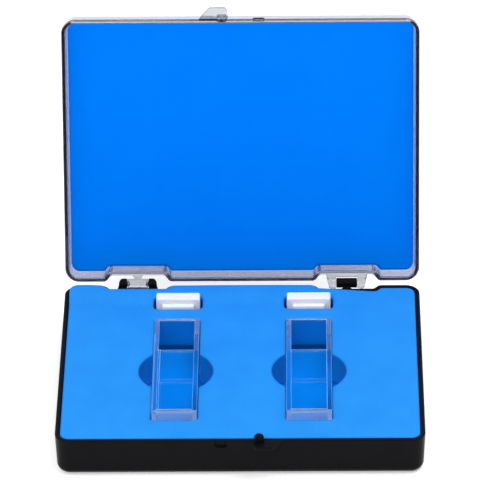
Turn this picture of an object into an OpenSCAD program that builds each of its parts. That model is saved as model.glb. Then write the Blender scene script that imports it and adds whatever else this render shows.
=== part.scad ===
// A pair of glass cuvettes with stoppers in a hinged two-part storage case, lid open.
// X is the case's width, Y runs from front to back and Z is up. The origin is the centre of
// the underside of the base. The lid is drawn closed and turned back about the hinge axis.

/* [Case] */
// Outer width of the case at the rim
case_w = 101; // [98:0.5:110]
// Outer depth of the case at the rim
case_d = 76.5; // [75:0.5:84]
// Height of the base, from its underside to its rim
base_h = 11.8; // [11.4:0.1:12.4]
// Height of the lid, from its rim to its outer face
lid_h = 8.2; // [8:0.1:9.5]
// Thickness of the moulded walls, floor and roof
wall = 1.2; // [1:0.05:1.3]
// Radius of the upright corners in plan, at the rim
corner_r = 4; // [3.6:0.1:5]
// Radius of the rounded edge between a wall and the floor or roof
edge_r = 2.5; // [2:0.1:2.8]
// How far each wall leans in from the rim to the floor or roof
draft = 0.45; // [0.2:0.05:0.6]

/* [Hinges] */
// Angle that the lid is opened to, from closed to its stop
open_angle = 108; // [100:1:115]
// Distance of each hinge's middle from the case's centre line
hinge_x = 29.8; // [26:0.1:33]
// Depth of the recess in the rear wall at each hinge
recess_depth = 1.8; // [1.6:0.1:2]
// Width of the recess at the outer face of the rear wall
recess_mouth = 18.2; // [17:0.1:20]
// Width of the recess at its flat back
recess_floor = 15.4; // [14:0.1:16]
// Radius of the snap barrels
barrel_r = 1.4; // [1.3:0.05:1.5]
// Length of the snap barrels
barrel_l = 5.9; // [5:0.1:7]

/* [Front latch] */
// Length of each thumb tab along the rim
tab_l = 8.75; // [7:0.25:11]
// How far the thumb tabs stand out from the front wall
tab_reach = 3.3; // [2.5:0.1:4]
// Width of the snap posts
post_w = 2.8; // [2:0.1:3]
// Height of the snap posts above their own rim
post_h = 2.2; // [1.8:0.1:2.4]

/* [Foam] */
// Thickness of the sheet under the die-cut tray
backing_t = 0.4; // [0.3:0.1:0.9]
// Thickness of the sheet inside the lid
liner_t = 1.1; // [0.9:0.1:1.9]
// Radius of the round finger cut-outs
finger_r = 10.3; // [8:0.1:12]
// Sideways offset of the die-cut pattern from the middle of the case
cut_shift = 0.4; // [0:0.1:0.6]

/* [Cuvettes] */
// Outer width and height of each cuvette
cell_side = 12.5; // [12.4:0.1:12.8]
// Outer length of each cuvette, with its end plate
cell_len = 45; // [44:0.5:46]
// Thickness of the glass plates
plate_t = 1.25; // [1:0.05:1.4]
// Distance between the two cuvettes' long axes
cell_pitch = 37; // [34:0.5:40]

/* [Stoppers] */
// Side of the stopper's square flange
flange_side = 12.4; // [12:0.1:12.6]
// Thickness of the flange
flange_t = 3.5; // [3:0.1:3.6]
// Side of the square plug
plug_side = 9; // [8.8:0.1:9.8]
// Length of the plug
plug_l = 1.1; // [0.8:0.1:1.2]

/* [Hidden] */

fine = 96;
small = 48;
over = 1;                           // how far a cutting shape runs past what it cuts
seam = 0.1;                         // gap between the two rims when the case is closed
foam_gap = 0.1;                     // gap between foam and the moulded walls, floor and roof

axis_back = 0.6;                    // hinge axis behind the rear wall
axis_rise = 0.3;                    // hinge axis above the base's rim
axis_y = case_d / 2 + axis_back;
axis_z = base_h + axis_rise;
hinge_reach = axis_back + recess_depth;     // hinge axis to the back of the recess
recess_slope = (recess_mouth - recess_floor) / 2 / recess_depth;
recess_turn = 90 - atan(recess_slope);

ear_r = 1.5;
ear_gap = 0.12;                     // between each ear and the end of its barrel
ear_root = 5.9;                     // outer face of an ear at the wall, from the hinge's middle
ear_tip = 4.8;                      // the same at the far side of the axis
nub_r = 0.85;
nub_l = 0.6;
nub_play = 0.1;
web_t = 0.65;
neck_w = 2.2;
neck_drop = 0.2;                    // top of a neck below the top of its barrel
heel_gap = 0.06;                    // between the lid's heels and the base at full opening
heel_top = 0.3;
heel_low = 1.5;

post_x = 5.2;
post_front = 1.2;                   // how far a post stands out from the front wall
post_back = 0.6;                    // how far it reaches into the wall
post_root = 1.6;
notch_play = 0.25;
tab_end = 3.5;                      // end of the tab nearest the centre line
tab_t = 1;
tab_slope = 3.35;
tab_nip = 0.75;

tray_z = wall + foam_gap + backing_t;   // underside of the die-cut sheet
cell_y = -4.7;
cell_play = 0.2;
pocket_rear = 3.5;                  // the pocket is long enough for a cell with its stopper in
pocket_front = 1.05;
finger_y = -4.2;
slot_w = 13.8;
slot_front = 26.5;
slot_rear = 31.6;
slot_round = 1.6;
plug_front = 26.65;                 // front face of the stopper's plug

glass = [0.82, 0.92, 0.96, 0.4];
foam_blue = [0.12, 0.57, 0.97];
liner_blue = [0.02, 0.48, 0.94];

function lean(h) = atan(draft / h);

// Section of a filled tray from its own corner axis out to the wall. `reach` is the distance
// from that axis to the rim, `inset` shrinks the section and `top` is where it is cut off.
module tray_section(reach, h, inset, top, start) {
    a = lean(h);
    r = edge_r - inset;
    cx = reach - (edge_r + (h - edge_r) * sin(a)) / cos(a);
    rim_x = reach - inset / cos(a) + (top - h) * tan(a);
    intersection() {
        union() {
            translate([cx, edge_r])
                circle(r, $fn = fine);
            polygon([[start, inset], [cx, inset], [cx + r * cos(a), edge_r - r * sin(a)],
                [rim_x, top], [start, top]]);
        }
        translate([start, inset])
            square([reach + over - start, top - inset]);
    }
}

// A filled tray with leaning walls, round corners and a round lower edge
module tray_solid(h, inset = 0, top = 0) {
    up = top > 0 ? top : h;
    cx = case_w / 2 - corner_r;
    cy = case_d / 2 - corner_r;
    for (turn = [0 : 3]) {
        odd = turn % 2;
        px = odd == 1 ? cy : cx;
        py = odd == 1 ? cx : cy;
        rotate([0, 0, 90 * turn]) {
            translate([px, py, 0])
                rotate_extrude(angle = 90, $fn = fine)
                    tray_section(corner_r, h, inset, up, 0);
            translate([px, py, 0])
                rotate([90, 0, 0])
                    linear_extrude(2 * py)
                        tray_section(corner_r, h, inset, up, -over);
        }
    }
    translate([-cx, -cy, inset])
        cube([2 * cx, 2 * cy, up - inset]);
}

// Plan of the hinge recesses, from `depth` inside the rear wall's face to just outside it
module recess_plan(depth, grow) {
    half = recess_floor / 2 + grow;
    wide = half + recess_slope * (depth + over);
    for (side = [-1, 1])
        translate([side * hinge_x, case_d / 2])
            polygon([[-wide, over], [-half, -depth], [half, -depth], [wide, over]]);
}

// Everything inside the walls, set in by `gap` from them
module cavity(h, gap, z0, z1) {
    inner = wall + gap;
    difference() {
        intersection() {
            tray_solid(h, inner, h + over);
            translate([-case_w, -case_d, z0])
                cube([2 * case_w, 2 * case_d, z1 - z0]);
        }
        translate([0, 0, z0 - over])
            linear_extrude(z1 - z0 + 2 * over)
                recess_plan(recess_depth + inner, inner * tan(recess_turn / 2));
    }
}

// One half of the case with its hinge recesses, floor down and rim up
module case_half(h) {
    difference() {
        tray_solid(h);
        cavity(h, 0, wall, h + over);
        translate([0, 0, -over])
            linear_extrude(h + 2 * over)
                recess_plan(recess_depth, 0);
    }
}

// The hinge and latch pieces below are drawn for a half that lies above its rim, in the
// frame of the hinge axis; `rim` is the height of that rim from the axis.

// Side view of an ear: round about the axis and square at the wall, with an optional heel
module ear_side(rim, heel) {
    root = -hinge_reach - wall / 2;
    circle(ear_r, $fn = small);
    polygon([[root, rim], [0, rim], [0, ear_r], [root, ear_r]]);
    if (heel)
        rotate(open_angle)
            polygon([[0, 0], [heel_gap - hinge_reach, -heel_top],
                [heel_gap - hinge_reach, -heel_low], [-ear_r / 2, -heel_low]]);
}

module ears(rim, heel) {
    near = barrel_l / 2 + ear_gap;
    for (side = [0, 1])
        mirror([side, 0, 0]) {
            difference() {
                translate([near, 0, 0])
                    rotate([90, 0, 90])
                        linear_extrude(ear_root - near)
                            ear_side(rim, heel);
                translate([0, 0, -2 * hinge_reach])
                    linear_extrude(4 * hinge_reach)
                        polygon([[ear_root, -hinge_reach], [ear_tip, hinge_reach + over],
                            [ear_root + over, hinge_reach + over], [ear_root + over, -hinge_reach]]);
            }
            translate([near, 0, 0])
                rotate([0, -90, 0])
                    cylinder(h = nub_l, r1 = nub_r, r2 = nub_r - nub_l, $fn = small);
        }
    translate([-near, -hinge_reach - wall / 2, rim])
        cube([2 * near, wall / 2 + web_t, ear_r - rim]);
}

module barrel(rim) {
    dimple_r = nub_r + nub_play;
    dimple_l = nub_l + nub_play;
    difference() {
        union() {
            translate([-barrel_l / 2, 0, 0])
                rotate([0, 90, 0])
                    cylinder(h = barrel_l, r = barrel_r, $fn = small);
            translate([-neck_w / 2, -hinge_reach - wall / 2, rim])
                cube([neck_w, hinge_reach + wall / 2, barrel_r - neck_drop - rim]);
        }
        for (side = [0, 1])
            mirror([side, 0, 0])
                translate([barrel_l / 2, 0, 0])
                    rotate([0, -90, 0])
                        cylinder(h = dimple_l, r1 = dimple_r, r2 = dimple_r - nub_l, $fn = small);
    }
}

// Thumb tab and snap post at +X, for a half that lies below its rim at z = 0
module latch() {
    front = -case_d / 2;
    translate([0, front, -tab_t])
        linear_extrude(tab_t)
            polygon([[tab_end, wall / 2], [tab_end, -tab_reach + tab_nip],
                [tab_end + tab_nip, -tab_reach], [tab_end + tab_l - tab_slope, -tab_reach],
                [tab_end + tab_l, wall / 2]]);
    translate([post_x, front + post_back, 0])
        rotate([90, 0, 0])
            linear_extrude(post_back + post_front) {
                translate([0, post_h - post_w / 2])
                    circle(post_w / 2, $fn = small);
                translate([-post_w / 2, -post_root])
                    square([post_w, post_root + post_h - post_w / 2]);
            }
}

// Pocket at -X that the other half's post drops into
module latch_notch() {
    translate([-post_x - post_w / 2 - notch_play, -case_d / 2 - over, -post_h - notch_play])
        cube([post_w + 2 * notch_play, over + post_back + notch_play / 2, post_h + notch_play + over]);
}

module base_shell() {
    color([0.1, 0.1, 0.11]) {
        difference() {
            case_half(base_h);
            translate([0, 0, base_h])
                latch_notch();
        }
        translate([0, 0, base_h])
            latch();
        translate([-hinge_x, axis_y, axis_z])
            mirror([0, 0, 1])
                ears(axis_rise, false);
        translate([hinge_x, axis_y, axis_z])
            mirror([0, 0, 1])
                barrel(axis_rise);
    }
}

// Turns a lid piece from closed to fully open
module opened() {
    translate([0, axis_y, axis_z])
        rotate([-open_angle, 0, 0])
            translate([0, -axis_y, -axis_z])
                children();
}

// Places a half that was drawn rim up so that it closes on the base
module as_lid() {
    translate([0, 0, base_h + seam + lid_h])
        mirror([0, 0, 1])
            children();
}

module lid_shell() {
    rim = seam - axis_rise;
    color([0.85, 0.87, 0.92, 0.35])
        opened() {
            as_lid()
                mirror([1, 0, 0]) {
                    difference() {
                        case_half(lid_h);
                        translate([0, 0, lid_h])
                            latch_notch();
                    }
                    translate([0, 0, lid_h])
                        latch();
                }
            translate([hinge_x, axis_y, axis_z])
                ears(rim, true);
            translate([-hinge_x, axis_y, axis_z])
                barrel(rim);
        }
}

module lid_liner() {
    color(liner_blue)
        opened()
            as_lid()
                cavity(lid_h, foam_gap, wall, wall + foam_gap + liner_t);
}

// Plan of the cut-outs for one cuvette and its stopper, about the cuvette's long axis
module cut_plan() {
    translate([-cell_side / 2 - cell_play, cell_y - cell_len / 2 - pocket_front])
        square([cell_side + 2 * cell_play, cell_len + pocket_front + pocket_rear]);
    translate([0, finger_y])
        circle(finger_r, $fn = fine);
    for (side = [-1, 1])
        translate([side * (slot_w / 2 - slot_round), (slot_front + slot_rear) / 2])
            intersection() {
                circle((slot_rear - slot_front) / 2, $fn = small);
                translate([-slot_round, slot_front - slot_rear])
                    square([2 * slot_round, 2 * (slot_rear - slot_front)]);
            }
    translate([-slot_w / 2 + slot_round, slot_front])
        square([slot_w - 2 * slot_round, slot_rear - slot_front]);
}

function cell_x(side) = cut_shift + side * cell_pitch / 2;

module tray_foam() {
    color(foam_blue)
        difference() {
            cavity(base_h, foam_gap, tray_z, base_h);
            for (side = [-1, 1])
                translate([cell_x(side), 0, tray_z - over])
                    linear_extrude(base_h - tray_z + 2 * over)
                        cut_plan();
        }
}

module tray_backing() {
    color([0.08, 0.45, 0.85])
        cavity(base_h, foam_gap, wall, tray_z);
}

// A glass plate of one cuvette; `part` picks which one
module plate(side, part) {
    inside = cell_side - 2 * plate_t;
    tube = cell_len - plate_t;
    y0 = cell_y - cell_len / 2;
    outward = part == "outer" ? side : -side;
    size = part == "end" ? [cell_side, plate_t, cell_side]
        : part == "top" || part == "bottom" ? [cell_side, tube, plate_t]
        : [plate_t, tube, inside];
    x = part == "inner" || part == "outer" ? outward * (cell_side - plate_t) / 2 : 0;
    y = part == "end" ? y0 : y0 + plate_t;
    z = part == "top" ? cell_side - plate_t
        : part == "inner" || part == "outer" ? plate_t
        : 0;
    color(glass)
        translate([cell_x(side) + x - size.x / 2, y, tray_z + z])
            cube(size);
}

module stopper(side) {
    color("white")
        translate([cell_x(side), plug_front, tray_z + flange_side / 2]) {
            translate([-flange_side / 2, plug_l, -flange_side / 2])
                cube([flange_side, flange_t, flange_side]);
            translate([-plug_side / 2, 0, -plug_side / 2])
                cube([plug_side, plug_l, plug_side]);
        }
}

base_shell();
tray_foam();
tray_backing();
lid_shell();
lid_liner();
plate(-1, "top");  // cuvette_left_top_window
plate(-1, "bottom");  // cuvette_left_bottom_window
plate(-1, "inner");  // cuvette_left_inner_wall
plate(-1, "outer");  // cuvette_left_outer_wall
plate(-1, "end");  // cuvette_left_end_plate
plate(1, "top");  // cuvette_right_top_window
plate(1, "bottom");  // cuvette_right_bottom_window
plate(1, "inner");  // cuvette_right_inner_wall
plate(1, "outer");  // cuvette_right_outer_wall
plate(1, "end");  // cuvette_right_end_plate
stopper(-1);  // stopper_left
stopper(1);  // stopper_right
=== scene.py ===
"""Looks of the cuvette case: finely moulded shells, soft foam, fused glass cells and PTFE
stoppers, on a pale floor under soft light. Shapes are worked out in millimetres in the CAD
frame and turned to metres as each piece is made."""
import math

import bmesh
import bpy
from mathutils import Matrix, Vector, noise

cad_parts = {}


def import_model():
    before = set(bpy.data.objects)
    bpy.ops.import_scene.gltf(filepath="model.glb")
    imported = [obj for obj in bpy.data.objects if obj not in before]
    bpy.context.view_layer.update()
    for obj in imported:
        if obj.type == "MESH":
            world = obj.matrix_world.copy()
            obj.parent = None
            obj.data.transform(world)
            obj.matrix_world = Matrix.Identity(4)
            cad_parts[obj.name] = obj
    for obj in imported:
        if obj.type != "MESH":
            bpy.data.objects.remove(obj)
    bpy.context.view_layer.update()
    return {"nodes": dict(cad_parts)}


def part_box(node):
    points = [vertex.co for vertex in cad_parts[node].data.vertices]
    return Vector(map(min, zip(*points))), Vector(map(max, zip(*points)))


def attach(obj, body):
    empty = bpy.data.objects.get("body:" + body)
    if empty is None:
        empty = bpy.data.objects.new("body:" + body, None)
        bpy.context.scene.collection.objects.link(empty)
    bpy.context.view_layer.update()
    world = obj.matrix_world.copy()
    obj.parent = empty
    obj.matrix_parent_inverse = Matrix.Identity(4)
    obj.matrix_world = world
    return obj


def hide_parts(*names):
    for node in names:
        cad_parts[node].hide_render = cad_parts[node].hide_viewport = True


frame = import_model()

MM = 0.001

# Camera: a long lens, almost square on to the front of the case
VIEW_AZIMUTH = math.radians(0.92)
VIEW_ELEVATION = math.radians(32.88)
VIEW_ROLL = math.radians(-0.763)
VIEW_DISTANCE = 1258 * MM
VIEW_TARGET = Vector((0.145, 0, 51.92)) * MM
LENS = 344.7
SENSOR = 36

# The moulded case, in millimetres, as the CAD frame has it
CASE_W = 101
CASE_D = 76.5
BASE_H = 11.8
LID_H = 8.2
WALL = 1.2
CORNER_R = 4
EDGE_R = 2.5
DRAFT = 0.45
SEAM = 0.1
RIM_R = 0.32
CORNER_STEPS = 12
ARC_STEPS = 7

HINGE_X = 29.8
RECESS_DEPTH = 1.8
RECESS_MOUTH = 18.2
RECESS_FLOOR = 15.4
RECESS_SLOPE = (RECESS_MOUTH - RECESS_FLOOR) / 2 / RECESS_DEPTH
RECESS_GROW = math.tan((math.pi / 2 - math.atan(RECESS_SLOPE)) / 2)
RECESS_STEPS = 10
RECESS_ROUND = 0.45

AXIS_Y = CASE_D / 2 + 0.6
AXIS_Z = BASE_H + 0.3
HINGE_REACH = AXIS_Y - CASE_D / 2 + RECESS_DEPTH
ROOT = -HINGE_REACH - WALL / 2
OPEN_ANGLE = math.radians(108)
BARREL_R = 1.4
BARREL_L = 5.9
EAR_R = 1.5
EAR_NEAR = BARREL_L / 2 + 0.12
EAR_ROOT = 5.9
EAR_TIP = 4.8
NUB_R = 0.85
NUB_L = 0.6
DIMPLE_PLAY = 0.1
WEB_T = 0.65
NECK_W = 2.2
NECK_FLARE = 0.5
NECK_TOP = BARREL_R - 0.2
HEEL = ((0, 0), (-2.34, -0.3), (-2.34, -1.5), (-0.75, -1.5))

POST_X = 5.2
POST_W = 2.8
POST_H = 2.2
POST_ROOT = 1.6
POST_FRONT = 1.2
POST_BACK = 0.6
NOTCH_PLAY = 0.25
TAB_END = 3.5
TAB_L = 8.75
TAB_T = 1
TAB_REACH = 3.3
TAB_SLOPE = 3.35
TAB_NIP = 0.75

# Small roundings, overlaps and step counts of the hinge and latch parts
OVERLAP = 0.02                      # how far a part runs past the face that it joins
ROUNDER = 0.03                      # least extra radius of a plate's corners over its rims
SLIVER = 0.014                      # corners of a fused mesh nearer than this are joined
RECESS_SPAN = 0.3                   # least width of a recess's slope
EAR_EDGE = 0.15
EAR_STEPS = 30
EAR_END_STEPS = 6
BASE_EAR_ROUND = 1.15
LID_EAR_ROUND = 0.35
NUB_TIP_L = 0.05
LIP = 0.08                          # widening at a nub's tip and at a dimple's mouth
LIP_L = 0.04
NUB_ROOT = 0.2
NUB_SIDES = 32
WEB_EDGE = 0.12
WEB_REACH = 0.4
WEB_RISE = 0.03
WEB_DROP = 0.04
HEEL_CORNERS = [0.1, 0.15, 0.15, 0.1]
HEEL_EDGE = 0.08
HEEL_NEAR = 0.05
HEEL_SHORT = 1.2
BARREL_EDGE = 0.2
BARREL_SIDES = 48
NECK_CORNERS = [0.1, 0.3, 0.2, 0.1, 0.1, 0.2, 0.3, 0.1]
NECK_EDGE = 0.2
TAB_CORNERS = [0.5, 0.5, 1.0, 0.2, 0.1]
TAB_TOP = -0.01
TAB_EDGE = 0.22
POST_FOOT_R = 0.4
POST_EDGE = 0.35
ROUND_PLAY = 0.001                  # keeps the arcs of a fully rounded end from meeting
NOTCH_R = 0.9
NOTCH_EDGE = 0.1
NOTCH_OPEN = 1                      # how far the notch's cut runs past the wall and the rim

# Glass cells and stoppers
PLATE = 1.25
GLASS_LIFT = 0.04                   # raises a cell's underside clear of the foam
CELL_EDGE = 0.16
CELL_INNER_EDGE = 0.1
FLANGE_T = 3.5
PLUG_SIDE = 9
STOPPER_EDGE = 0.4
STOPPER_CORNER = 0.45
PLUG_FILLET = 0.15

# Foam sheets: size of the remeshed cells, rounds of smoothing, and how unevenly they lie
SHEET_VOXEL = 0.5
LINER_VOXEL = 0.4
TRAY_ROUNDS = 3
THIN_ROUNDS = 1
TRAY_WAVE = 0.1
TRAY_WAVE_L = 24
TRAY_SINK = 0.06
TRAY_FIXED = 3                      # below this level the tray keeps its cut shape
CORNER_RISE = 0.3
CORNER_AT = (-38, 27)
CORNER_RUN = (6, 9)
REAR_RISE = 0.15
REAR_CREEP = 1.2
REAR_AT = (40, 28)
REAR_RUN = (20, 6)
LINER_WAVE = 0.06
LINER_WAVE_L = 30
LINER_SEED = 9
LINER_STRETCH = (1.004, 1.005)

# Foam colours: darkest and lightest on the skin, then on the upright cut faces, whose deeper colour is
# painted shade
TRAY_BLUES = ((0.014, 0.25, 0.76), (0.019, 0.28, 0.81), (0.0, 0.15, 0.6))
LINER_BLUES = ((0.0012, 0.255, 0.94), (0.0025, 0.28, 0.99), (0.0, 0.17, 0.85))
BACKING_BLUES = ((0.0, 0.18, 0.65), (0.001, 0.2, 0.71), (0.0, 0.17, 0.66))
# Painted shade: the near-navy colour put on the backing sheet where it lies in deep shade behind the
# cells, and how softly it fades in
PAINTED_SHADE_BLUE = (0.0, 0.004, 0.06)
PAINTED_SHADE_FADE = 0.15 * MM
# The stretch along Y of the backing sheet that lies open behind the cells, painted almost navy there as
# the deep shade in the gap
PAINTED_SHADE_SPAN = (18.3 * MM, 23 * MM)

# Studio, in metres
KEY_LIGHT = {"place": (0.45, -0.1, 1.1), "aim": (0, 0, 0.02), "size": (0.7, 0.7), "power": 5.2}
FILL_LIGHT = {"place": (-0.5, -0.75, 0.75), "aim": (0, 0, 0.04), "size": (0.8, 0.8), "power": 4.6}
# How the surroundings' strength runs with direction: axis, from, to, strength there
WORLD_RAMPS = (("Z", 0.0, 0.8, 0.2, 0.8), ("Y", -0.4, 0.6, -0.1, 0.3))
SKY_COLOUR = (0.98, 0.985, 1, 1)
FLOOR_GLOW = 0.35
FLOOR_SIZE = 6
FLOOR_CELLS = 8
FLOOR_DROP = -0.02 * MM
FAR_CLIP = 20

OPENED = (Matrix.Translation((0, AXIS_Y, AXIS_Z)) @ Matrix.Rotation(-OPEN_ANGLE, 4, "X")
          @ Matrix.Translation((0, -AXIS_Y, -AXIS_Z)))
LID_WAY_UP = Matrix.Translation((0, 0, BASE_H + SEAM + LID_H)) @ Matrix.Rotation(math.pi, 4, "Y")


# ---------------------------------------------------------------- mesh helpers

def new_object(name, mesh, material):
    obj = bpy.data.objects.new(name, mesh)
    bpy.context.scene.collection.objects.link(obj)
    mesh.materials.clear()
    mesh.materials.append(material)
    return obj


def evaluated_mesh(obj):
    graph = bpy.context.evaluated_depsgraph_get()
    return bpy.data.meshes.new_from_object(obj.evaluated_get(graph))


def outline(corners, radii, inset=0.0, steps=5):
    """An anticlockwise outline, in 2D, whose corners turn on arcs, set in evenly by `inset`."""
    points = []
    count = len(corners)
    for i, corner in enumerate(corners):
        corner = Vector(corner)
        before = (Vector(corners[i - 1]) - corner).normalized()
        after = (Vector(corners[(i + 1) % count]) - corner).normalized()
        half = before.angle(after) / 2
        middle = (before + after).normalized()
        centre = corner + middle * (radii[i] / math.sin(half))
        start = (corner + before * (radii[i] / math.tan(half)) - centre).normalized()
        end = (corner + after * (radii[i] / math.tan(half)) - centre).normalized()
        hollow = before.cross(after) > 0
        radius = radii[i] + inset if hollow else radii[i] - inset
        turn = math.pi - 2 * half
        for k in range(steps + 1):
            t = k / steps
            spread = (start * math.sin((1 - t) * turn) + end * math.sin(t * turn)) / math.sin(turn)
            points.append(centre + spread * radius)
    return points


def rectangle(low, high):
    return [(low[0], low[1]), (high[0], low[1]), (high[0], high[1]), (low[0], high[1])]


def loft(rings):
    """A closed bmesh through rings of equal length, with its two ends capped."""
    bm = bmesh.new()
    loops = [[bm.verts.new(p) for p in ring] for ring in rings]
    for low, high in zip(loops, loops[1:]):
        for i in range(len(low)):
            j = (i + 1) % len(low)
            bm.faces.new((low[i], low[j], high[j], high[i]))
    bm.faces.new(reversed(loops[0]))
    bm.faces.new(loops[-1])
    bmesh.ops.recalc_face_normals(bm, faces=bm.faces)
    return bm


def quarter(radius, steps=3):
    """Steps round a quarter of an edge: how far in and how far along each one is."""
    for k in range(steps + 1):
        a = math.pi / 2 * k / steps
        yield radius * (1 - math.sin(a)), radius * (1 - math.cos(a))


def slab(corners, radii, low, high, edge):
    """A plate with a rounded outline between two levels, its rims rounded by `edge`."""
    radii = [max(radius, edge + ROUNDER) for radius in radii]
    levels = [(inset, low + along) for inset, along in quarter(edge)]
    levels += [(inset, high - along) for inset, along in reversed(list(quarter(edge)))]
    return loft([[Vector((p.x, p.y, z)) for p in outline(corners, radii, inset)] for inset, z in levels])


def turned_bar(profile, sides=40):
    """A bar turned about X through (x, radius) pairs."""
    angles = [math.tau * k / sides for k in range(sides)]
    return loft([[Vector((x, r * math.cos(a), r * math.sin(a))) for a in angles] for x, r in profile])


def moved(bm, matrix):
    bmesh.ops.transform(bm, matrix=matrix, verts=bm.verts)
    if matrix.determinant() < 0:
        bmesh.ops.reverse_faces(bm, faces=bm.faces)
    return bm


def to_mesh(name, bm):
    mesh = bpy.data.meshes.new(name)
    bm.to_mesh(mesh)
    bm.free()
    return mesh


def finished(name, mesh, material, smooth_angle=35, flats=True):
    """A piece in metres from a mesh in millimetres, smooth except at its sharp edges, whose
    flats are shaded flat right up to the small roundings at their rims."""
    mesh.transform(Matrix.Scale(MM, 4))
    obj = new_object(name, mesh, material)
    for polygon in mesh.polygons:
        polygon.use_smooth = True
    mesh.set_sharp_from_angle(angle=math.radians(smooth_angle))
    if flats:
        normals = obj.modifiers.new("flats", "WEIGHTED_NORMAL")
        normals.keep_sharp = True
        normals.weight = 100
    return obj


def without_slivers(mesh):
    """The mesh with the hair-thin faces that a boolean leaves closed up."""
    bm = bmesh.new()
    bm.from_mesh(mesh)
    bmesh.ops.remove_doubles(bm, verts=bm.verts, dist=SLIVER)
    bmesh.ops.dissolve_degenerate(bm, dist=SLIVER, edges=bm.edges)
    bm.to_mesh(mesh)
    bm.free()
    return mesh


def fused(name, solids, cuts):
    """One watertight mesh of overlapping solids, less the cuts."""
    scratch = bpy.data.collections.new(name + "_solids")
    holes = bpy.data.collections.new(name + "_cuts")
    objects = []
    for group, bodies in ((scratch, solids[1:]), (holes, cuts)):
        bpy.context.scene.collection.children.link(group)
        for bm in bodies:
            obj = bpy.data.objects.new("scratch", to_mesh("scratch", bm))
            group.objects.link(obj)
            objects.append(obj)
    main = bpy.data.objects.new("scratch", to_mesh(name, solids[0]))
    bpy.context.scene.collection.objects.link(main)
    objects.append(main)
    for group, operation in ((scratch, "UNION"), (holes, "DIFFERENCE")):
        modifier = main.modifiers.new(operation.lower(), "BOOLEAN")
        modifier.operation = operation
        modifier.operand_type = "COLLECTION"
        modifier.collection = group
        modifier.solver = "EXACT"
    mesh = without_slivers(evaluated_mesh(main))
    for obj in objects:
        bpy.data.objects.remove(obj)
    bpy.data.collections.remove(scratch)
    bpy.data.collections.remove(holes)
    return mesh


# ---------------------------------------------------------------- material helpers

class Nodes:
    """A Principled material with a few short calls to add its procedural parts."""

    def __init__(self, name, **values):
        self.material = bpy.data.materials.new(name)
        self.material.use_nodes = True
        self.tree = self.material.node_tree
        self.shader = self.tree.nodes["Principled BSDF"]
        self.output = self.tree.nodes["Material Output"]
        for key, value in values.items():
            self.shader.inputs[key.replace("_", " ")].default_value = value
        self.coordinates = self.add("ShaderNodeTexCoord")
        self.place = self.coordinates.outputs["Object"]

    def add(self, kind, **values):
        node = self.tree.nodes.new(kind)
        for key, value in values.items():
            setattr(node, key, value)
        return node

    def link(self, a, b):
        self.tree.links.new(a, b)

    def noise(self, size, detail=2.0, stretch=None):
        """Noise with features of about `size` metres."""
        node = self.add("ShaderNodeTexNoise")
        node.inputs["Scale"].default_value = 1 / size
        node.inputs["Detail"].default_value = detail
        self.link(self.stretched(stretch), node.inputs["Vector"])
        return node.outputs["Fac"]

    def cells(self, size, feature="F1"):
        node = self.add("ShaderNodeTexVoronoi", feature=feature)
        node.inputs["Scale"].default_value = 1 / size
        self.link(self.place, node.inputs["Vector"])
        return node.outputs["Distance"]

    def stretched(self, stretch):
        if stretch is None:
            return self.place
        node = self.add("ShaderNodeMapping")
        node.inputs["Scale"].default_value = stretch
        self.link(self.place, node.inputs["Vector"])
        return node.outputs["Vector"]

    def ramp(self, factor, low, high, start=0.3, end=0.7):
        """Runs from `low` to `high` as the factor goes from start to end."""
        node = self.add("ShaderNodeMapRange")
        for key, value in (("From Min", start), ("From Max", end), ("To Min", low), ("To Max", high)):
            node.inputs[key].default_value = value
        self.link(factor, node.inputs["Value"])
        return node.outputs["Result"]

    def blend(self, factor, low, high):
        node = self.add("ShaderNodeMix", data_type="RGBA")
        for socket, value in (("A", low), ("B", high)):
            if isinstance(value, tuple):
                node.inputs[socket].default_value = value + (1,)
            else:
                self.link(value, node.inputs[socket])
        self.link(factor, node.inputs["Factor"])
        return node.outputs["Result"]

    def total(self, a, b, operation="ADD"):
        node = self.add("ShaderNodeMath", operation=operation)
        for socket, value in zip(node.inputs, (a, b)):
            if isinstance(value, (int, float)):
                socket.default_value = value
            else:
                self.link(value, socket)
        return node.outputs[0]

    def set(self, name, value):
        self.link(value, self.shader.inputs[name])

    def bump(self, height, distance, strength=1.0):
        node = self.add("ShaderNodeBump")
        node.inputs["Distance"].default_value = distance
        node.inputs["Strength"].default_value = strength
        self.link(height, node.inputs["Height"])
        self.set("Normal", node.outputs["Normal"])

    def absorb(self, colour, density):
        """The solid's own tint, which deepens along a long way through it."""
        node = self.add("ShaderNodeVolumeAbsorption")
        node.inputs["Color"].default_value = colour + (1,)
        node.inputs["Density"].default_value = density
        self.link(node.outputs["Volume"], self.output.inputs["Volume"])

    def let_lamps_through(self, tint):
        """Light from lamps passes straight through, as it does through thin clear walls."""
        path = self.add("ShaderNodeLightPath")
        clear = self.add("ShaderNodeBsdfTransparent")
        clear.inputs["Color"].default_value = tint + (1,)
        mix = self.add("ShaderNodeMixShader")
        self.link(path.outputs["Is Shadow Ray"], mix.inputs["Fac"])
        self.link(self.shader.outputs["BSDF"], mix.inputs[1])
        self.link(clear.outputs["BSDF"], mix.inputs[2])
        self.link(mix.outputs["Shader"], self.output.inputs["Surface"])


# ---------------------------------------------------------------- materials

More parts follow.
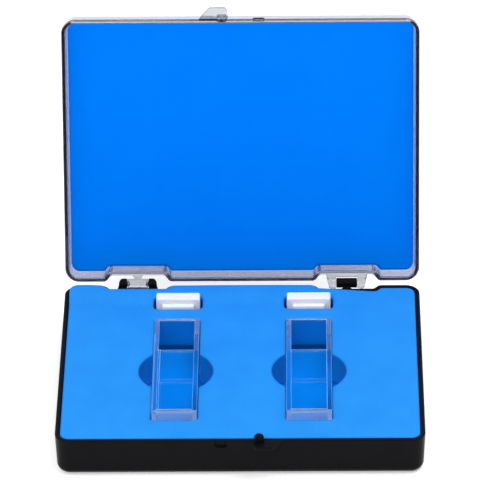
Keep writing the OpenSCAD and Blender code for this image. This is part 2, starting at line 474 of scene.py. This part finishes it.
def foam_material(name, blues, shine, roughness, painted_shade=None):
    """Closed-cell foam: matt, slightly mottled, with fine burst cells over its skin, and painted shade:
    a deeper colour on its upright faces. The last argument, if given, is a stretch along Y painted
    almost navy as deep shade."""
    low, high, cut = blues
    m = Nodes(name, Specular_IOR_Level=shine)
    patches = m.noise(11 * MM, 3)
    grain = m.noise(0.45 * MM, 2)
    skin = m.blend(m.ramp(m.total(patches, grain, "MULTIPLY"), 0, 1, 0.15, 0.38), low, high)
    # Painted shade: faces that stand upright, such as the walls of holes and pockets, take the deeper
    # third colour, as if in shade while the level skin is lit from above
    split = m.add("ShaderNodeSeparateXYZ")
    m.link(m.coordinates.outputs["Normal"], split.inputs[0])
    level = m.ramp(m.total(split.outputs["Z"], 0, "ABSOLUTE"), 0, 1, 0.15, 0.75)
    colour = m.blend(level, cut, skin)
    # Painted shade: over the given stretch of Y the colour turns almost navy, standing for the deep
    # shade in the gap behind each cell
    if painted_shade:
        along = m.add("ShaderNodeSeparateXYZ")
        m.link(m.place, along.inputs[0])
        start, end = [m.ramp(along.outputs["Y"], 0, 1, y - PAINTED_SHADE_FADE, y + PAINTED_SHADE_FADE) for y in painted_shade]
        colour = m.blend(m.total(start, end, "SUBTRACT"), colour, PAINTED_SHADE_BLUE)
    m.set("Base Color", colour)
    m.set("Roughness", m.ramp(patches, roughness - 0.06, roughness + 0.06))
    cell = m.cells(0.42 * MM)
    m.bump(m.total(m.total(cell, 0.6, "MULTIPLY"), m.noise(0.16 * MM, 2)), 0.03 * MM)
    return m.material


def black_plastic():
    m = Nodes("black_polystyrene", IOR=1.45, Specular_IOR_Level=0.05)
    m.set("Base Color", m.blend(m.noise(6 * MM, 3), (0.0044, 0.0041, 0.0049), (0.0067, 0.0061, 0.0071)))
    m.set("Roughness", m.ramp(m.noise(2.2 * MM, 4), 0.16, 0.28))
    m.bump(m.noise(0.5 * MM, 2), 0.004 * MM)
    return m.material


def clear_plastic():
    m = Nodes("clear_polystyrene", IOR=1.57, Transmission_Weight=1.0, Specular_IOR_Level=0.25)
    m.shader.inputs["Base Color"].default_value = (0.57, 0.575, 0.6, 1)
    m.set("Roughness", m.ramp(m.noise(3 * MM, 3), 0.04, 0.12))
    m.bump(m.noise(9 * MM, 1), 0.02 * MM, 0.4)
    m.absorb((0.6, 0.6, 0.69), 75)
    m.let_lamps_through((0.9, 0.9, 0.93))
    return m.material


def optical_glass():
    """Clear on its windows and walls, finely ground on the ends, which face along Y, and on the
    narrow bevels."""
    m = Nodes("optical_glass", IOR=1.5, Specular_IOR_Level=0.2)
    split = m.add("ShaderNodeSeparateXYZ")
    m.link(m.coordinates.outputs["Normal"], split.inputs[0])
    facing = [m.total(split.outputs[axis], 0, "ABSOLUTE") for axis in "XYZ"]
    squareness = m.total(m.total(facing[0], facing[1], "MAXIMUM"), facing[2], "MAXIMUM")
    bevel = m.ramp(squareness, 1, 0, 0.88, 0.97)
    haze = m.ramp(m.noise(2.5 * MM, 1), 0.9, 1.0)
    ends = m.total(m.ramp(facing[1], 0, 1, 0.8, 0.98), haze, "MULTIPLY")
    m.set("Roughness", m.ramp(m.total(ends, bevel, "MAXIMUM"), 0.0, 0.3, 0, 1))
    loss = m.total(m.total(ends, 0.09, "MULTIPLY"), m.total(bevel, 0.35, "MULTIPLY"), "MAXIMUM")
    m.set("Transmission Weight", m.total(1, loss, "SUBTRACT"))
    m.shader.inputs["Base Color"].default_value = (0.91, 0.985, 0.985, 1)
    m.let_lamps_through((0.97, 0.98, 0.985))
    return m.material


def white_ptfe():
    m = Nodes("white_ptfe", IOR=1.36, Subsurface_Weight=0.6, Subsurface_Scale=2.5 * MM)
    m.set("Base Color", m.blend(m.noise(1.6 * MM, 3), (0.86, 0.865, 0.87), (0.9, 0.9, 0.9)))
    m.set("Roughness", m.ramp(m.noise(0.8 * MM, 2), 0.4, 0.55))
    m.bump(m.noise(0.25 * MM, 2, (1, 1, 12)), 0.01 * MM)
    return m.material


# ---------------------------------------------------------------- moulded shells

def recess_points(centre, rear, back_inset):
    """One hinge recess in the rear edge, walked towards -X: two soft slopes and a flat back."""
    depth = max(rear - (CASE_D / 2 - RECESS_DEPTH - back_inset), 0)
    half = RECESS_FLOOR / 2 + back_inset * RECESS_GROW
    middle = half + RECESS_SLOPE * depth / 2
    span = max(RECESS_SLOPE * depth / (1 - RECESS_ROUND), RECESS_SPAN)
    slope = []
    for k in range(RECESS_STEPS + 1):
        t = k / RECESS_STEPS
        bend = RECESS_ROUND * (1 - RECESS_ROUND) * 2
        if t < RECESS_ROUND:
            drop = t * t / bend
        elif t > 1 - RECESS_ROUND:
            drop = 1 - (1 - t) ** 2 / bend
        else:
            drop = (t - RECESS_ROUND / 2) / (1 - RECESS_ROUND)
        slope.append((middle + span * (0.5 - t), rear - depth * drop))
    right = [Vector((centre + x, y)) for x, y in slope]
    left = [Vector((centre - x, y)) for x, y in reversed(slope)]
    return right + left


def case_outline(inset, back_inset):
    """Plan of a case half at one level: a rectangle with round corners, set in by `inset`, and
    two hinge recesses whose flat backs are set in by `back_inset`."""
    middle = (CASE_W / 2 - CORNER_R, CASE_D / 2 - CORNER_R)
    radius = CORNER_R - inset
    points = []
    for turn, (sx, sy) in enumerate(((1, 1), (-1, 1), (-1, -1), (1, -1))):
        for k in range(CORNER_STEPS + 1):
            a = math.pi / 2 * (turn + k / CORNER_STEPS)
            points.append(Vector((sx * middle[0] + radius * math.cos(a),
                                  sy * middle[1] + radius * math.sin(a))))
        if turn == 0:
            for centre in (HINGE_X, -HINGE_X):
                points += recess_points(centre, CASE_D / 2 - inset, back_inset)
    return points


def case_half(height):
    """The open tray of one case half, floor down and rim up."""
    lean = math.atan(DRAFT / height)
    centre = (EDGE_R + (height - EDGE_R) * math.sin(lean)) / math.cos(lean)
    rim_in = WALL / math.cos(lean)

    def fillet(radius, back_inset):
        for k in range(ARC_STEPS + 1):
            a = -math.pi / 2 + (math.pi / 2 - lean) * k / ARC_STEPS
            yield centre - radius * math.cos(a), back_inset, EDGE_R + radius * math.sin(a)
    levels = list(fillet(EDGE_R, 0))
    levels += [(inset, inset, height - along) for inset, along in reversed(list(quarter(RIM_R)))]
    levels += [(rim_in - inset, WALL - inset, height - along) for inset, along in quarter(RIM_R)]
    levels += reversed(list(fillet(EDGE_R - WALL, WALL)))
    return loft([[Vector((p.x, p.y, z)) for p in case_outline(inset, back_inset)]
                 for inset, back_inset, z in levels])


# The hinge and latch solids below are drawn in the frame of the hinge axis, or of the rim's
# front edge, for a half that lies above its rim or, for the latch, below it.

def ear(rim, round_end):
    """A hinge ear at +X: a disc about the axis with a square root in the wall, tapering outward."""
    root = ROOT - OVERLAP

    def ring(x, inset):
        r = EAR_R - inset
        start = math.atan2(rim, -math.sqrt(r * r - rim * rim)) % math.tau
        stop = math.pi / 2 + math.tau
        arc = [start + (stop - start) * k / EAR_STEPS for k in range(EAR_STEPS + 1)]
        flat = [(root, rim)] + [(r * math.cos(a), r * math.sin(a)) for a in arc] + [(root, r)]
        weight = (x - EAR_NEAR) / (EAR_ROOT - EAR_NEAR)
        taper = (EAR_ROOT - EAR_TIP) / 2 / HINGE_REACH * weight
        return [Vector((x - taper * max(y + HINGE_REACH, 0), y, z)) for y, z in flat]
    rings = [ring(EAR_NEAR + along, inset) for inset, along in quarter(EAR_EDGE)]
    end = reversed(list(quarter(round_end, EAR_END_STEPS)))
    rings += [ring(EAR_ROOT - along, inset) for inset, along in end]
    return loft(rings)


def nub():
    """The pivot cone on the inner face of an ear at +X."""
    return turned_bar([(EAR_NEAR - NUB_L, NUB_R - NUB_L),
                       (EAR_NEAR - NUB_L + NUB_TIP_L, NUB_R - NUB_L + LIP),
                       (EAR_NEAR, NUB_R), (EAR_NEAR + NUB_ROOT, NUB_R)], NUB_SIDES)


def ears(rim, round_end, heel):
    """A pair of ears with their nubs and the web between them, and heels if asked for."""
    solids = []
    for mirror in (Matrix.Identity(4), Matrix.Scale(-1, 4, (1, 0, 0))):
        solids += [moved(ear(rim, round_end), mirror), moved(nub(), mirror)]
        if heel:
            side = Matrix(((0, 0, 1, 0), (1, 0, 0, 0), (0, 1, 0, 0), (0, 0, 0, 1)))
            turned = side @ Matrix.Rotation(OPEN_ANGLE, 4, "Z")
            low, high = EAR_NEAR + HEEL_NEAR, EAR_ROOT - HEEL_SHORT
            foot = slab(HEEL, HEEL_CORNERS, low, high, HEEL_EDGE)
            solids.append(moved(foot, mirror @ turned))
    reach = EAR_NEAR + WEB_REACH
    web = slab(rectangle((-reach, ROOT), (reach, -HINGE_REACH + WEB_T)), [WEB_EDGE] * 4,
               rim + WEB_RISE, EAR_R - WEB_DROP, WEB_EDGE)
    return solids + [web]


def barrel(rim):
    """The snap barrel, with a cone sunk in each end, on a neck that flares into the wall."""
    end = BARREL_L / 2
    bottom = end - NUB_L - DIMPLE_PLAY
    mouth = NUB_R + DIMPLE_PLAY
    side = [(bottom, mouth - NUB_L), (end - LIP_L, mouth), (end, mouth + LIP)]
    side += [(end - along, BARREL_R - inset) for inset, along in quarter(BARREL_EDGE)]
    solid = turned_bar([(-x, r) for x, r in side] + [(x, r) for x, r in reversed(side)], BARREL_SIDES)
    near, wide = NECK_W / 2, NECK_W / 2 + NECK_FLARE
    flare_y = -HINGE_REACH + NECK_FLARE
    plan = [(-near, 0), (-near, flare_y), (-wide, -HINGE_REACH), (-wide, ROOT),
            (wide, ROOT), (wide, -HINGE_REACH), (near, flare_y), (near, 0)]
    neck = slab(plan, NECK_CORNERS, rim + OVERLAP, NECK_TOP, NECK_EDGE)
    return [solid, neck]


def latch():
    """Thumb tab and snap post at +X, about the middle of the front edge of the rim."""
    plan = [(TAB_END, -TAB_REACH + TAB_NIP), (TAB_END + TAB_NIP, -TAB_REACH),
            (TAB_END + TAB_L - TAB_SLOPE, -TAB_REACH), (TAB_END + TAB_L, WALL / 2), (TAB_END, WALL / 2)]
    tab = slab(plan, TAB_CORNERS, -TAB_T, TAB_TOP, TAB_EDGE)
    upright = Matrix.Translation((POST_X, 0, 0)) @ Matrix.Rotation(math.pi / 2, 4, "X")
    half = POST_W / 2
    face = rectangle((-half, -POST_ROOT), (half, POST_H))
    top = half - ROUND_PLAY
    post = slab(face, [POST_FOOT_R, POST_FOOT_R, top, top], -POST_BACK, POST_FRONT, POST_EDGE)
    return [tab, moved(post, upright)]


def latch_notch():
    """What is cut from the front edge at -X for the other half's post."""
    upright = Matrix.Translation((-POST_X, 0, 0)) @ Matrix.Rotation(math.pi / 2, 4, "X")
    half = POST_W / 2 + NOTCH_PLAY
    face = rectangle((-half, -POST_H - NOTCH_PLAY), (half, NOTCH_OPEN))
    radii = [NOTCH_R, NOTCH_R, NOTCH_EDGE, NOTCH_EDGE]
    cut = slab(face, radii, -POST_BACK - NOTCH_PLAY / 2, NOTCH_OPEN, NOTCH_EDGE)
    return moved(cut, upright)


def half_solids(height):
    """A case half and its latch, rim up, with what is cut from it."""
    front = Matrix.Translation((0, -CASE_D / 2, height))
    return [case_half(height)] + [moved(bm, front) for bm in latch()], [moved(latch_notch(), front)]


def base_mesh():
    solids, cuts = half_solids(BASE_H)
    below = Matrix.Scale(-1, 4, (0, 0, 1))
    rim = AXIS_Z - BASE_H
    for x, parts in ((-HINGE_X, ears(rim, BASE_EAR_ROUND, False)), (HINGE_X, barrel(rim))):
        place = Matrix.Translation((x, AXIS_Y, AXIS_Z)) @ below
        solids += [moved(bm, place) for bm in parts]
    return fused("base", solids, cuts)


def lid_mesh():
    solids, cuts = half_solids(LID_H)
    solids = [moved(bm, LID_WAY_UP) for bm in solids]
    cuts = [moved(bm, LID_WAY_UP) for bm in cuts]
    rim = BASE_H + SEAM - AXIS_Z
    for x, parts in ((HINGE_X, ears(rim, LID_EAR_ROUND, True)), (-HINGE_X, barrel(rim))):
        place = Matrix.Translation((x, AXIS_Y, AXIS_Z))
        solids += [moved(bm, place) for bm in parts]
    mesh = fused("lid", solids, cuts)
    mesh.transform(OPENED)
    return mesh


def shell(name, node, body, mesh, material):
    """A case half that stands for its CAD node."""
    obj = finished(name, mesh, material)
    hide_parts(node)
    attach(obj, body)
    return obj


# ---------------------------------------------------------------- foam

def foam_sheet(node, body, material, voxel, rounds, sculpt, way_up=Matrix.Identity(4)):
    """Foam as cut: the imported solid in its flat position, remeshed finely with soft edges."""
    mesh = frame["nodes"][node].data.copy()
    mesh.transform(Matrix.Scale(1 / MM, 4))
    mesh.transform(way_up.inverted())
    obj = new_object("foam", mesh, material)
    remesh = obj.modifiers.new("cells", "REMESH")
    remesh.mode = "VOXEL"
    remesh.voxel_size = voxel
    smooth = obj.modifiers.new("soft", "SMOOTH")
    smooth.factor = 0.5
    smooth.iterations = rounds
    final = evaluated_mesh(obj)
    bpy.data.objects.remove(obj)
    for vertex in final.vertices:
        vertex.co = sculpt(vertex.co)
    final.transform(way_up)
    piece = finished("soft_" + node, final, material, 180, False)
    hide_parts(node)
    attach(piece, body)
    return piece


def eased(t):
    t = min(max(t, 0), 1)
    return t * t * (3 - 2 * t)


def tray_shape(point):
    """The die-cut sheet lies a little unevenly. Its rear edge stands proud, highest at the left
    corner and lowest towards the right-hand end."""
    top = eased((point.z - TRAY_FIXED) / (BASE_H - TRAY_FIXED))
    wave = noise.noise(Vector((point.x, point.y, 0)) / TRAY_WAVE_L) * TRAY_WAVE * top
    corner = (CORNER_RISE * eased((CORNER_AT[0] - point.x) / CORNER_RUN[0])
              * eased((point.y - CORNER_AT[1]) / CORNER_RUN[1]))
    creep = REAR_CREEP * eased((REAR_AT[0] - point.x) / REAR_RUN[0])
    rear = (REAR_RISE + creep) * eased((point.y - REAR_AT[1]) / REAR_RUN[1])
    lift = (corner + rear) * top
    return point + Vector((0, 0, wave + lift - TRAY_SINK * top))


def liner_shape(point):
    """The lid's sheet lies slightly wavy and is stretched a little towards the walls."""
    wave = noise.noise(Vector((point.x, point.y, LINER_SEED)) / LINER_WAVE_L) * LINER_WAVE
    return Vector((point.x * LINER_STRETCH[0], point.y * LINER_STRETCH[1], point.z + wave))


# ---------------------------------------------------------------- glass and stoppers

def cuvette(side, material):
    """Five plates fused into one cell: closed at the front, open at the rear."""
    parts = [f"cuvette_{side}_{p}" for p in
             ("top_window", "bottom_window", "inner_wall", "outer_wall", "end_plate")]
    boxes = [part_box(p) for p in parts]
    low = Vector(map(min, *[b[0] for b in boxes])) / MM + Vector((0, 0, GLASS_LIFT))
    high = Vector(map(max, *[b[1] for b in boxes])) / MM

    def ring(inset, y, radius):
        flat = outline(rectangle((low.x, low.z), (high.x, high.z)), [radius + inset] * 4, inset, 3)
        return [Vector((p.x, y, p.y)) for p in flat]
    edge, inner = CELL_EDGE, CELL_INNER_EDGE
    rings = [ring(inset, low.y + along, edge) for inset, along in quarter(edge, 2)]
    rings += [ring(inset, high.y - along, edge) for inset, along in reversed(list(quarter(edge, 2)))]
    rings += [ring(PLATE - inner, high.y, inner), ring(PLATE, high.y - inner, inner)]
    rings += [ring(PLATE, low.y + PLATE + inner, inner), ring(PLATE + inner, low.y + PLATE, inner)]
    obj = finished(f"cuvette_{side}_glass", to_mesh("glass", loft(rings)), material, 30)
    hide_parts(*parts)
    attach(obj, f"cuvette_{side}")
    return obj


def stopper(side, material):
    """Square flange and plug machined from one block, every edge broken."""
    node = f"stopper_{side}"
    low, high = [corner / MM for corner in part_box(node)]
    middle = (low + high) / 2
    half = (high.x - low.x) / 2
    edge = STOPPER_EDGE

    def ring(reach, y):
        corners = rectangle((middle.x - reach, middle.z - reach), (middle.x + reach, middle.z + reach))
        flat = outline(corners, [STOPPER_CORNER] * 4)
        return [Vector((p.x, y, p.y)) for p in flat]
    plug = PLUG_SIDE / 2
    back = high.y - FLANGE_T
    rings = [ring(plug - inset, low.y + along) for inset, along in quarter(edge)]
    rings += [ring(plug, back - PLUG_FILLET), ring(plug + PLUG_FILLET, back)]
    rings += [ring(half - inset, back + along) for inset, along in quarter(edge)]
    rings += [ring(half - inset, high.y - along) for inset, along in reversed(list(quarter(edge)))]
    obj = finished(f"stopper_{side}_ptfe", to_mesh("ptfe", loft(rings)), material, 50)
    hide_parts(node)
    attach(obj, node)
    return obj


# ---------------------------------------------------------------- setting

def area_light(name, place, aim, size, power):
    lamp = bpy.data.lights.new(name, "AREA")
    lamp.shape = "RECTANGLE"
    lamp.size, lamp.size_y = size
    lamp.energy = power
    obj = bpy.data.objects.new(name, lamp)
    bpy.context.scene.collection.objects.link(obj)
    obj.location = place
    obj.rotation_euler = (Vector(aim) - Vector(place)).to_track_quat("-Z", "Y").to_euler()
    return obj


def floor():
    """A pale floor with a faint glow of its own, so that shadows on it stay very light."""
    m = Nodes("pale_floor", Roughness=0.9, Specular_IOR_Level=0.1, Emission_Strength=FLOOR_GLOW)
    m.shader.inputs["Emission Color"].default_value = (1, 1, 1, 1)
    m.set("Base Color", m.blend(m.noise(0.08, 2), (0.93, 0.93, 0.93), (0.95, 0.95, 0.95)))
    bm = bmesh.new()
    bmesh.ops.create_grid(bm, x_segments=FLOOR_CELLS, y_segments=FLOOR_CELLS, size=FLOOR_SIZE)
    mesh = to_mesh("floor", bm)
    obj = new_object("floor", mesh, m.material)
    obj.location.z = FLOOR_DROP
    return obj


def world():
    """Soft surroundings: bright overhead and behind the case, dimmer in front and low down."""
    scene = bpy.context.scene
    scene.world = bpy.data.worlds.new("studio")
    scene.world.use_nodes = True
    tree = scene.world.node_tree
    background = tree.nodes["Background"]
    place = tree.nodes.new("ShaderNodeTexCoord")
    split = tree.nodes.new("ShaderNodeSeparateXYZ")
    tree.links.new(place.outputs["Generated"], split.inputs[0])
    parts = []
    for axis, start, end, low, high in WORLD_RAMPS:
        ramp = tree.nodes.new("ShaderNodeMapRange")
        ramp.interpolation_type = "SMOOTHSTEP"
        for key, value in (("From Min", start), ("From Max", end), ("To Min", low), ("To Max", high)):
            ramp.inputs[key].default_value = value
        tree.links.new(split.outputs[axis], ramp.inputs["Value"])
        parts.append(ramp.outputs["Result"])
    both = tree.nodes.new("ShaderNodeMath")
    both.operation = "ADD"
    tree.links.new(parts[0], both.inputs[0])
    tree.links.new(parts[1], both.inputs[1])
    tree.links.new(both.outputs[0], background.inputs["Strength"])
    background.inputs["Color"].default_value = SKY_COLOUR
    scene.view_settings.view_transform = "Standard"
    scene.cycles.max_bounces = 24
    scene.cycles.glossy_bounces = 16
    scene.cycles.transmission_bounces = 20


def camera():
    data = bpy.data.cameras.new("camera")
    data.lens = LENS
    data.sensor_width = SENSOR
    data.clip_end = FAR_CLIP
    obj = bpy.data.objects.new("camera", data)
    bpy.context.scene.collection.objects.link(obj)
    az, el = VIEW_AZIMUTH, VIEW_ELEVATION
    back = Vector((math.sin(az) * math.cos(el), -math.cos(az) * math.cos(el), math.sin(el)))
    right = Vector((math.cos(az), math.sin(az), 0))
    up = back.cross(right)
    level = Matrix((right, up, back)).transposed()
    obj.matrix_world = (Matrix.Translation(VIEW_TARGET + back * VIEW_DISTANCE)
                        @ (level @ Matrix.Rotation(VIEW_ROLL, 3, "Z")).to_4x4())
    bpy.context.scene.camera = obj
    return obj


camera()
world()
floor()
area_light("key", **KEY_LIGHT)
area_light("fill", **FILL_LIGHT)

shell("case_base", "base_shell", "base", base_mesh(), black_plastic())
shell("case_lid", "lid_shell", "lid", lid_mesh(), clear_plastic())
tray_blue = foam_material("tray_foam", TRAY_BLUES, 0.1, 0.66)
liner_blue = foam_material("liner_foam", LINER_BLUES, 0.0, 0.8)
# The backing sheet carries the painted shade strip behind the cells
backing_blue = foam_material("backing_foam", BACKING_BLUES, 0.03, 0.8, PAINTED_SHADE_SPAN)
foam_sheet("tray_foam", "base", tray_blue, SHEET_VOXEL, TRAY_ROUNDS, tray_shape)
foam_sheet("tray_backing", "base", backing_blue, SHEET_VOXEL, THIN_ROUNDS, Vector)
foam_sheet("lid_liner", "lid", liner_blue, LINER_VOXEL, THIN_ROUNDS, liner_shape, OPENED)
glass = optical_glass()
ptfe = white_ptfe()
for side in ("left", "right"):
    cuvette(side, glass)
    stopper(side, ptfe)
